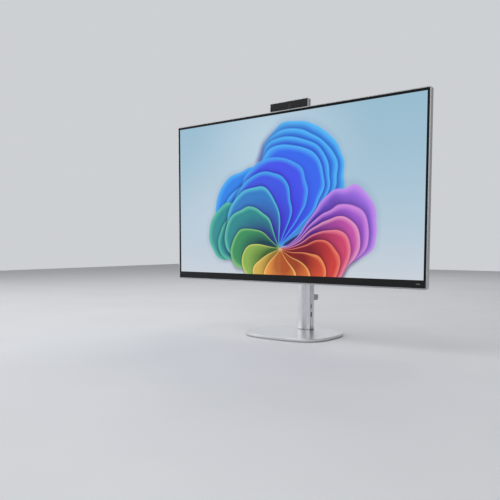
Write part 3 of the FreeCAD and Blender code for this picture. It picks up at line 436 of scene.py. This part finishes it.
def paint_picture(picture):
    """The backdrop, the folds that lie behind, and the top, left and right cascades over them."""
    picture.backdrop(
        (0.0, linear(204, 211, 220)),
        (0.3, linear(182, 204, 219)),
        (0.65, linear(164, 196, 214)),
        (1.0, linear(154, 190, 210)),
    )
    picture.glow((-40, 120), (300, 260), linear(196, 216, 230), 0.8)
    picture.glow((-230, -60), (220, 220), linear(194, 208, 222), 0.7)

    picture.folds(-46, 246, 36, ((30, 60, 190), (38, 130, 236), (84, 184, 250)), 4)
    picture.folds(-76, 236, 32, ((34, 70, 120), (46, 142, 146), (96, 200, 170)), 3)
    picture.folds(46, 176, 30, ((36, 36, 104), (44, 60, 170), (56, 96, 206)))
    picture.cascade(
        (12, 306, 33, (44, 70, 214), (50, 140, 240), (92, 196, 252)),
        (4, 250, 34, (60, 52, 214), (58, 106, 240), (84, 190, 252)),
        steps=3,
    )
    picture.cascade(
        (-12, 224, 38, (58, 44, 206), (70, 84, 236), (74, 178, 248)),
        (-28, 200, 39, (62, 48, 196), (66, 90, 230), (70, 184, 244)),
        (-50, 190, 38, (56, 54, 160), (54, 126, 200), (92, 206, 222)),
        (-72, 180, 37, (44, 60, 130), (50, 140, 144), (108, 208, 178)),
        (-94, 158, 33, (28, 66, 80), (64, 146, 96), (140, 204, 128)),
        (-117, 128, 29, (60, 100, 50), (140, 178, 84), (214, 212, 116)),
        (-140, 114, 25, (150, 120, 50), (214, 176, 84), (244, 214, 124)),
        (-174, 112, 36, (180, 96, 44), (238, 158, 76), (252, 206, 122)),
    )
    picture.cascade(
        (70, 264, 33, (70, 44, 170), (150, 100, 220), (206, 150, 244)),
        (77, 238, 31, (76, 44, 160), (160, 90, 204), (222, 150, 232)),
        (85, 214, 31, (84, 36, 130), (196, 84, 170), (242, 164, 204)),
        (95, 190, 30, (110, 26, 70), (208, 70, 110), (246, 140, 160)),
        (107, 168, 30, (120, 28, 44), (206, 66, 62), (246, 132, 110)),
        (123, 146, 29, (130, 36, 36), (216, 84, 54), (248, 156, 98)),
        (143, 124, 27, (160, 70, 40), (232, 128, 62), (252, 190, 108)),
        (174, 116, 35, (176, 84, 40), (240, 150, 70), (252, 204, 118)),
    )


def screen_surface():
    """Anti-glare glass over black, lit by the picture inside its lit rectangle."""
    finish = Finish("screen_surface", specular_ior_level=0.14, emission_strength=0.96)
    picture = Picture(finish)
    paint_picture(picture)
    edge = 0.4
    lit = None
    for value, half in ((picture.x, PICTURE_HALF_WIDE), (picture.up, PICTURE_HALF_TALL)):
        reach = finish.sum(value, 0.0, "ABSOLUTE")
        inside = finish.spread(reach, half + edge, half, 0.0, 1.0)
        lit = inside if lit is None else finish.sum(lit, inside, "MULTIPLY")
    black = linear(9, 10, 12)
    finish.link(finish.mixed(lit, (0, 0, 0, 1), picture.image), "Emission Color")
    haze = finish.noise(1900, detail=2)
    finish.colour(finish.ramp(haze, (0.3, black), (0.7, linear(13, 14, 16))))
    finish.rough(finish.noise(16), 0.3, 0.38)
    finish.bump(haze, 0.00001, 0.35)
    return finish.material


# ---------------------------------------------------------------- one finish for each slot

FINISHES = {
    "base_silver": anodised("bead_blasted_aluminium", linear(229, 230, 232), 0.29),
    "column_silver": anodised("extruded_aluminium", linear(220, 221, 224), 0.28, streaks=True),
    "frame_silver": anodised("frame_aluminium", linear(224, 225, 227), 0.30),
    "steel": zinc_steel(),
    "black_steel": powder_coat(),
    "foot_rubber": rubber(),
    "rear_shell": moulded("rear_shell_plastic", linear(196, 198, 201), 0.44, flakes=0.25),
    "stand_plastic": moulded("stand_plastic", linear(188, 190, 193), 0.46),
    "dark_plastic": moulded("dark_plastic", linear(40, 40, 42), 0.5),
    "chin_charcoal": charcoal_chin(),
    "screen": screen_surface(),
    "guide_acrylic": reflector_film(),
    "board_green": circuit_board("solder_mask", linear(16, 74, 44)),
    "chip_black": chip_package(),
    "copper": bare_metal("drawn_copper", linear(176, 104, 72), linear(206, 132, 94), 0.22, 0.4),
    "fin_metal": bare_metal("plain_aluminium", linear(196, 197, 199), linear(216, 217, 219), 0.28, 0.44),
    "port_metal": bare_metal("nickel_plate", linear(184, 184, 182), linear(208, 208, 205), 0.16, 0.3),
    "camera_gloss": tinted_window(),
    "lens_glass": coated_lens(),
}
# A darker copy of the frame's aluminium: painted shade on the head's front lip.
EDGE_ALUMINIUM_PAINTED_SHADE = anodised("edge_aluminium_painted_shade", linear(176, 177, 179), 0.36)
# A grey well below the column's aluminium: painted contact shade at the column's foot.
GASKET_PAINTED_SHADE = moulded("gasket_grey_painted_shade", linear(146, 147, 149), 0.6)
LIGHT_WINDOW = light_window()
GOLD = bare_metal("gold_contact", linear(206, 160, 84), linear(232, 190, 108), 0.2, 0.34)


def dress_nodes():
    """Every node of the frame takes the finish of its slot in the record."""
    for part in frame["record"]["subparts"]:
        node = NODES[part["node"]]
        node.data.materials.clear()
        node.data.materials.append(FINISHES[part["material_slot"]])


dress_nodes()

# ---------------------------------------------------------------- mesh helpers

OTHER_AXES = {"x": (1, 2), "y": (0, 2), "z": (0, 1)}


def outline(halves, radius, steps=6):
    """Points round a rectangle with round corners about the origin, anticlockwise."""
    points = []
    for quarter, (across, up) in enumerate(((1, 1), (-1, 1), (-1, -1), (1, -1))):
        for step in range(steps + 1):
            angle = math.radians(90 * (quarter + step / steps))
            x = across * (halves[0] - radius) + radius * math.cos(angle)
            y = up * (halves[1] - radius) + radius * math.sin(angle)
            points.append((x, y))
    return points


def circle(radius, steps=40):
    """Points round a circle about the origin, anticlockwise."""
    turns = [2 * math.pi * step / steps for step in range(steps)]
    return [(radius * math.cos(turn), radius * math.sin(turn)) for turn in turns]


def loop(mesh, axis, along, middle, points):
    """Vertices for points about middle, in the plane across axis at along. Lengths are in mm."""
    made = []
    for point in points:
        place = Vector((along, along, along))
        for letter, centre, value in zip(OTHER_AXES[axis], middle, point):
            place[letter] = centre + value
        made.append(mesh.verts.new(place * MM))
    return made


def skin(mesh, loops, closed=False):
    """Joins each loop to the next, and caps both ends or joins the last loop to the first."""
    pairs = list(zip(loops, loops[1:]))
    if closed:
        pairs.append((loops[-1], loops[0]))
    for one, two in pairs:
        for here, there in zip(range(len(one)), [*range(1, len(one)), 0]):
            mesh.faces.new((one[here], one[there], two[there], two[here]))
    if not closed:
        mesh.faces.new(loops[0][::-1])
        mesh.faces.new(loops[-1])


def slab(mesh, axis, middle, halves, span, radius=0.3, edge=0.1):
    """A block with round corners over span, and its end edges taken off by edge."""
    low, high = span
    small = [half - edge for half in halves]
    inner = max(radius - edge, 0.02)
    steps = (
        (low, small, inner),
        (low + edge, halves, radius),
        (high - edge, halves, radius),
        (high, small, inner),
    )
    skin(mesh, [loop(mesh, axis, along, middle, outline(half, r, 4)) for along, half, r in steps])


def add_piece(name, mesh, body, material, smooth=True):
    """A piece made of that mesh, which rides on a body of the frame."""
    bmesh.ops.recalc_face_normals(mesh, faces=mesh.faces)
    data = bpy.data.meshes.new(name)
    mesh.to_mesh(data)
    mesh.free()
    data.materials.append(material)
    if smooth:
        data.shade_smooth()
        data.set_sharp_from_angle(angle=math.radians(35))
    piece = bpy.data.objects.new(name, data)
    bpy.context.scene.collection.objects.link(piece)
    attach(piece, body)
    return piece


def millimetres(node):
    """A node's lowest and highest corners, in millimetres."""
    return [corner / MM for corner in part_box(node)]


# ---------------------------------------------------------------- pieces


def frame_trim():
    """The polished edge round the front of the head: a thin cap on the frame's front lip, in a darker
    copy of the frame's aluminium that paints shade on the lip.
    """
    low, high = millimetres("mid_frame")
    panel_low, panel_high = millimetres("lcd_panel")
    chin_low, _ = millimetres("chin_strip")
    middle = ((low.x + high.x) / 2, (low.z + high.z) / 2)
    out = ((high.x - low.x) / 2, (high.z - low.z) / 2)
    side = high.x - panel_high.x
    top = high.z - panel_high.z
    bottom = chin_low.z - low.z
    hole = (out[0] - side, (high.z - low.z - top - bottom) / 2)
    shift = (bottom - top) / 2
    hole_middle = (middle[0], middle[1] + shift)
    corner = 3.0
    rings = (
        (0.3, middle, out, -0.05, corner - 0.05),
        (-0.02, middle, out, -0.05, corner - 0.05),
        (-0.25, middle, out, -0.4, corner - 0.4),
        (-0.25, hole_middle, hole, 0.25, 1.0),
        (0.28, hole_middle, hole, 0.08, 0.9),
    )
    mesh = bmesh.new()
    loops = []
    for ahead, centre, halves, grow, radius in rings:
        grown = (halves[0] + grow, halves[1] + grow)
        loops.append(loop(mesh, "y", low.y + ahead, centre, outline(grown, radius, 10)))
    skin(mesh, loops, closed=True)
    add_piece("frame_trim", mesh, "head", EDGE_ALUMINIUM_PAINTED_SHADE)


def column_outline(grow):
    """The extrusion's crowned outline about its own middle, grown all round."""
    low, high = millimetres("column_shell")
    half, front, back = (high.x - low.x) / 2, low.y, high.y
    corner, crown = 5.0, 80.0
    side = half - corner
    centre = (front + back) / 2
    lean = math.asin(side / (crown - corner))
    front_corner = front + crown - math.sqrt((crown - corner) ** 2 - side**2) - centre
    quarters = (
        (0, front + crown - centre, crown, -math.pi / 2 - lean, -math.pi / 2 + lean),
        (side, front_corner, corner, -math.pi / 2 + lean, 0),
        (side, back - corner - centre, corner, 0, math.pi / 2),
        (-side, back - corner - centre, corner, math.pi / 2, math.pi),
        (-side, front_corner, corner, math.pi, 1.5 * math.pi - lean),
    )
    points = []
    for x, y, radius, start, end in quarters:
        for step in range(9):
            turn = start + (end - start) * step / 8
            reach = radius + grow
            points.append((x + reach * math.cos(turn), y + reach * math.sin(turn)))
    return points


def foot_shade_gasket():
    """The grey gasket between the column's foot and the base, darker than the column so that it paints
    the contact shade along the foot.
    """
    low, high = millimetres("column_shell")
    middle = ((low.x + high.x) / 2, (low.y + high.y) / 2)
    mesh = bmesh.new()
    profile = ((0, -0.3), (0, 0.5), (1.0, 0.5), (1.4, 0.2), (1.4, -0.3))
    loops = [loop(mesh, "z", low.z + up, middle, column_outline(grow)) for up, grow in profile]
    skin(mesh, loops, closed=True)
    add_piece("foot_shade_gasket", mesh, "stand", GASKET_PAINTED_SHADE)


def wire_mesh(name, low_z, high_z):
    """Fine wire behind a row of vents in the hump: uprights, and cross wires in front of them."""
    pitch, half_wide, wire = 1.7, 149.0, 0.22
    section = [(wire, 0), (0, wire), (-wire, 0), (0, -wire)]
    behind = millimetres("hump_cover")[1].y - 2.6
    mesh = bmesh.new()
    uprights = int(2 * half_wide / pitch)
    for count in range(uprights + 1):
        x = -half_wide + count * pitch
        ends = (low_z - 1.5, high_z + 1.5)
        skin(mesh, [loop(mesh, "z", z, (x, behind), section) for z in ends])
    rows = int((high_z - low_z) / pitch)
    for count in range(rows + 1):
        z = low_z + (high_z - low_z - rows * pitch) / 2 + count * pitch
        ends = (-half_wide - 1, half_wide + 1)
        skin(mesh, [loop(mesh, "x", x, (behind - wire, z), section) for x in ends])
    add_piece(name, mesh, "head", FINISHES["black_steel"], smooth=False)


def camera_details():
    """A ring round the lens, and two pin-hole microphones in the camera's window."""
    low, high = millimetres("camera_lens")
    window = millimetres("camera_window")[0].y
    centre = ((low.x + high.x) / 2, (low.z + high.z) / 2)
    mesh = bmesh.new()
    hole, thick, back = 4.15, 0.8, 0.3
    profile = (
        (back, hole),
        (-0.12, hole),
        (-0.16, hole + 0.2),
        (-0.16, hole + thick - 0.2),
        (-0.04, hole + thick),
        (back, hole + thick),
    )
    loops = [loop(mesh, "y", window + y, centre, circle(radius)) for y, radius in profile]
    skin(mesh, loops, closed=True)
    add_piece("lens_ring", mesh, "camera", FINISHES["dark_plastic"])
    mesh = bmesh.new()
    for x in (-42, 42):
        places = ((0.2, 0.75), (-0.06, 0.75), (-0.1, 0.6))
        skin(mesh, [loop(mesh, "y", window + y, (x, centre[1]), circle(r, 20)) for y, r in places])
    add_piece("microphone_covers", mesh, "camera", FINISHES["chip_black"])


def status_light():
    """A small light window near the right end of the chin."""
    low, high = millimetres("chin_strip")
    middle = (high.x - 17, (low.z + high.z) / 2)
    mesh = bmesh.new()
    slab(mesh, "y", middle, (4.6, 0.8), (low.y - 0.12, low.y + 0.4), 0.78, 0.08)
    add_piece("status_light", mesh, "head", LIGHT_WINDOW)


def tongue_with_contacts(name, body, axis, tongue, span, contacts, inner_side):
    """A plastic sleeve over a port's tongue, and gold contacts along one side of it.

    tongue is the middle and half size of the sleeve across the port's axis. The mouth is at the
    span's high end. The contacts lie along the sleeve's long side, on the inner_side of its short
    one.
    """
    middle, halves = tongue
    sleeve = bmesh.new()
    slab(sleeve, axis, middle, halves, span, 0.25, 0.12)
    add_piece(f"{name}_sleeve", sleeve, body, FINISHES["dark_plastic"])
    gold = bmesh.new()
    long_way = 0 if halves[0] > halves[1] else 1
    short_way = 1 - long_way
    inside = (span[0] + (span[1] - span[0]) * 0.25, span[1] - 0.5)
    pitch = 2 * halves[long_way] / (contacts + 0.6)
    for count in range(contacts):
        spot = [0, 0]
        spot[long_way] = middle[long_way] + (count - (contacts - 1) / 2) * pitch
        spot[short_way] = middle[short_way] + inner_side * (halves[short_way] + 0.03)
        size = [0, 0]
        size[long_way] = pitch * 0.27
        size[short_way] = 0.07
        slab(gold, axis, spot, size, inside, 0.05, 0.03)
    add_piece(f"{name}_contacts", gold, body, GOLD)


def spans_of(node):
    """A node's lowest and highest X, then its lowest and highest Z."""
    low, high = millimetres(node)
    return low.x, high.x, low.z, high.z


def port_details():
    """Sleeves and contacts for the ports in the column and in the back of the head."""
    low, high = millimetres("usb_a_port")
    sleeve = ((low.y + 1.65, (low.z + high.z) / 2), (1.1, 5.75))
    tongue_with_contacts("column_usb_a", "stand", "x", sleeve, (low.x + 2, high.x - 0.65), 4, 1)
    low, high = millimetres("usb_c_port")
    sleeve = (((low.y + high.y) / 2, (low.z + high.z) / 2), (0.45, 3.4))
    tongue_with_contacts("column_usb_c", "stand", "x", sleeve, (low.x + 1.8, high.x - 0.5), 6, 1)

    low, high = millimetres("rear_usb_ports")
    socket_tall, mouth, deep = 6.0, -4.15, 8
    for name, x_low, x_high, z_low, z_high, contacts in (
        ("rear_usb_low", low.x, high.x, low.z, low.z + socket_tall, 4),
        ("rear_usb_top", low.x, high.x, high.z - socket_tall, high.z, 4),
        ("rear_video", *spans_of("video_port"), 9),
        ("rear_network", *spans_of("network_port"), 8),
    ):
        tongue_low = z_low + (z_high - z_low) * 0.55
        tongue_high = z_high - 1.3
        middle = ((x_low + x_high) / 2, (tongue_low + tongue_high) / 2)
        halves = ((x_high - x_low) / 2 - 1.5, (tongue_high - tongue_low) / 2 + 0.1)
        sleeve = (middle, halves)
        tongue_with_contacts(name, "head", "y", sleeve, (mouth - deep, mouth), contacts, -1)


frame_trim()
foot_shade_gasket()
wire_mesh("vent_mesh_top", 440, 454)
wire_mesh("vent_mesh_low", 264, 280)
camera_details()
status_light()
port_details()

# ---------------------------------------------------------------- studio

MIDDLE = Vector((0, 0, 0.32))


def area_light(name, place, size, power):
    """A soft white light that shines at the middle of the computer and isn't seen itself."""
    light = bpy.data.lights.new(name, "AREA")
    light.shape = "RECTANGLE"
    light.size, light.size_y = size
    light.energy = power
    holder = bpy.data.objects.new(name, light)
    holder.location = place
    holder.rotation_euler = (MIDDLE - Vector(place)).to_track_quat("-Z", "Y").to_euler()
    holder.visible_camera = False
    bpy.context.scene.collection.objects.link(holder)


def make_floor():
    """A wide, plain pale floor."""
    mesh = bmesh.new()
    bmesh.ops.create_grid(mesh, x_segments=1, y_segments=1, size=4.0)
    data = bpy.data.meshes.new("floor")
    mesh.to_mesh(data)
    mesh.free()
    floor = bpy.data.objects.new("floor", data)
    bpy.context.scene.collection.objects.link(floor)
    finish = Finish("pale_floor", specular_ior_level=0.2)
    tone = finish.noise(3, detail=2)
    finish.colour(finish.ramp(tone, (0.3, linear(236, 237, 239)), (0.7, linear(241, 242, 244))))
    finish.rough(tone, 0.6, 0.7)
    data.materials.append(finish.material)


def make_world():
    """A plain pale room. What the computer reflects is brightest behind it and to its left."""
    world = bpy.data.worlds.new("studio")
    bpy.context.scene.world = world
    world.use_nodes = True
    tree = world.node_tree
    sky = tree.nodes["Background"]
    sky.inputs["Color"].default_value = linear(226, 229, 233)
    facing = tree.nodes.new("ShaderNodeVectorMath")
    facing.operation = "DOT_PRODUCT"
    facing.inputs[1].default_value = (-0.87, 0.48, 0.06)
    level = tree.nodes.new("ShaderNodeMapRange")
    ranges = {"From Min": -0.25, "From Max": 1.0, "To Min": 0.18, "To Max": 0.86}
    for words, number in ranges.items():
        level.inputs[words].default_value = number
    direction = tree.nodes.new("ShaderNodeTexCoord").outputs["Generated"]
    tree.links.new(direction, facing.inputs[0])
    tree.links.new(facing.outputs["Value"], level.inputs["Value"])
    seen = tree.nodes.new("ShaderNodeMix")
    seen.inputs["B"].default_value = 0.8
    camera_ray = tree.nodes.new("ShaderNodeLightPath").outputs["Is Camera Ray"]
    tree.links.new(camera_ray, seen.inputs["Factor"])
    tree.links.new(level.outputs["Result"], seen.inputs["A"])
    tree.links.new(seen.outputs["Result"], sky.inputs["Strength"])


def make_camera():
    """The camera in front of the computer's right side, a little below its middle."""
    lens = bpy.data.cameras.new("camera")
    lens.sensor_width = 36.0
    lens.lens = 41.25
    lens.shift_y = 0.0742
    lens.clip_start = 0.01
    camera = bpy.data.objects.new("camera", lens)
    camera.location = (0.7749, -1.2292, 0.2294)
    camera.rotation_euler = (math.radians(85.75), 0, math.radians(36.65))
    bpy.context.scene.collection.objects.link(camera)
    bpy.context.scene.camera = camera


make_floor()
make_world()
make_camera()
area_light("left_softbox", (-2.38, -1.27, 1.15), (2.2, 2.3), 18)
area_light("right_softbox", (0.6, -2.45, 1.15), (3.4, 2.1), 21)
area_light("top_softbox", (-0.7, -0.3, 2.3), (2.0, 1.6), 15)
area_light("rear_softbox", (-0.8, 2.2, 2.3), (1.8, 1.4), 12)
bpy.context.scene.view_settings.view_transform = "Standard"
